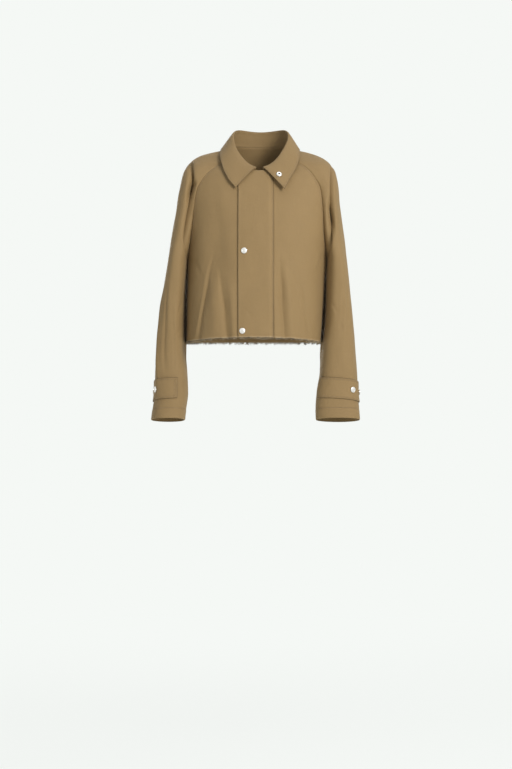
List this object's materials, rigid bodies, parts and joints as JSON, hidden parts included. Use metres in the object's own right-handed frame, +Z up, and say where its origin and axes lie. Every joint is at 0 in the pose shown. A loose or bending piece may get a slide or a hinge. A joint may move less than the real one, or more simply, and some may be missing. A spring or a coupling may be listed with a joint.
{
  "type": "cropped trench jacket",
  "caption": "Boxy cropped jacket in khaki cloth with raglan sleeves, a pointed collar, a wide snap placket, cuff straps and a raw hem, in the form it takes when worn.",
  "frame": {"origin": "between the wearer's shoulders at the neck, level with the top of the shoulders, where the jacket rests when worn", "axes": "+Z up, front towards -Y, +X towards the wearer's left"},
  "size_m": [0.5614, 0.2999, 0.7937],
  "materials": {
    "cloth": "matt cotton gabardine",
    "snap_metal": "pale satin metal"
  },
  "bodies": {
    "root": {"front_right": "cloth", "front_left": "cloth", "placket": "cloth", "back": "cloth", "sleeve_front_right": "cloth", "sleeve_back_right": "cloth", "sleeve_front_left": "cloth", "sleeve_back_left": "cloth", "collar_stand": "cloth", "collar_fall": "cloth", "cuff_strap_right": "cloth", "cuff_strap_left": "cloth", "snap_front_upper": "snap_metal", "snap_front_lower": "snap_metal", "snap_collar": "snap_metal", "snap_cuff_front_right": "snap_metal", "snap_cuff_outer_right": "snap_metal", "snap_cuff_front_left": "snap_metal", "snap_cuff_outer_left": "snap_metal"}
  },
  "joints": []
}
